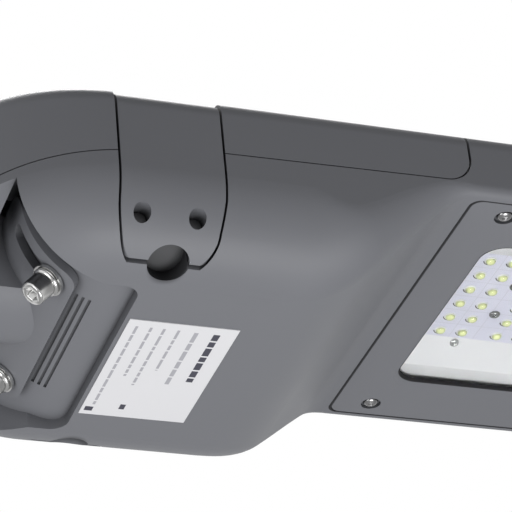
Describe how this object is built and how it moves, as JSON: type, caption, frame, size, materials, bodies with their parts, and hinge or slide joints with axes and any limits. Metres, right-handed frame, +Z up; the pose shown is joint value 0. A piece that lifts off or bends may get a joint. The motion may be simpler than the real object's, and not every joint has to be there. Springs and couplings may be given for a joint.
{
  "type": "led street light head",
  "caption": "Cast street light head with a glazed LED module, finned deck, lift-off gear cover, side latches and a tilting pole adapter.",
  "frame": {"origin": "centre of the pole socket's mouth, on the axis of its bore", "axes": "+X along the bore towards the light's front end, +Y across, +Z up; the light shines along -Z"},
  "size_m": [0.5, 0.224, 0.102],
  "materials": {
    "grey_paint": "smooth semi-matt grey powder coat on cast aluminium",
    "stainless": "bright stainless steel",
    "black_rubber": "matt black silicone rubber",
    "black_plastic": "matt black nylon",
    "grey_plastic": "matt light grey plastic",
    "white_plastic": "matt white plastic",
    "clear_glass": "clear toughened glass",
    "white_paint": "satin white paint on sheet",
    "white_board": "white solder mask",
    "led_yellow": "yellow phosphor under a clear dome",
    "zinc_sheet": "dull zinc-coated sheet",
    "label_white": "matt white film"
  },
  "bodies": {
    "arm_adapter": {"pole_adapter": "grey_paint", "pole_clamp_screws": "stainless"},
    "head": {"lower_housing": "grey_paint", "cover_gasket": "black_rubber", "tilt_bolts": "stainless", "flat_washers": "stainless", "spring_washers": "stainless", "cable_gland": "black_plastic", "led_frame": "grey_paint", "frame_screws": "stainless", "front_glass": "clear_glass", "glass_gasket": "black_rubber", "reflector": "white_paint", "led_board": "white_board", "leds": "led_yellow", "board_screws": "stainless", "gear_tray": "zinc_sheet", "tray_screws": "stainless", "driver": "white_plastic", "driver_screws": "stainless", "terminal_block": "grey_plastic", "surge_protector": "black_plastic", "rating_label": "label_white"},
    "cover": {"top_cover": "grey_paint", "latch_pins": "stainless"},
    "near_latch": {"latch_near": "grey_paint", "catch_spring_near": "stainless", "catch_screws_near": "stainless"},
    "far_latch": {"latch_far": "grey_paint", "catch_spring_far": "stainless", "catch_screws_far": "stainless"}
  },
  "joints": [
    {"name": "head_tilt", "type": "hinge", "parent": "arm_adapter", "child": "head", "pos_m": [0.135, 0, 0.004], "axis": [0, 1, 0], "range_deg": [0, 30]},
    {"name": "cover_lift", "type": "slide", "parent": "head", "child": "cover", "axis": [0, 0, 1], "range_m": [0, 0.06]},
    {"name": "near_latch_hinge", "type": "hinge", "parent": "cover", "child": "near_latch", "pos_m": [0.142, -0.102, 0.0255], "axis": [-1, 0, 0], "range_deg": [0, 80]},
    {"name": "far_latch_hinge", "type": "hinge", "parent": "cover", "child": "far_latch", "pos_m": [0.142, 0.102, 0.0255], "axis": [1, 0, 0], "range_deg": [0, 80]}
  ]
}
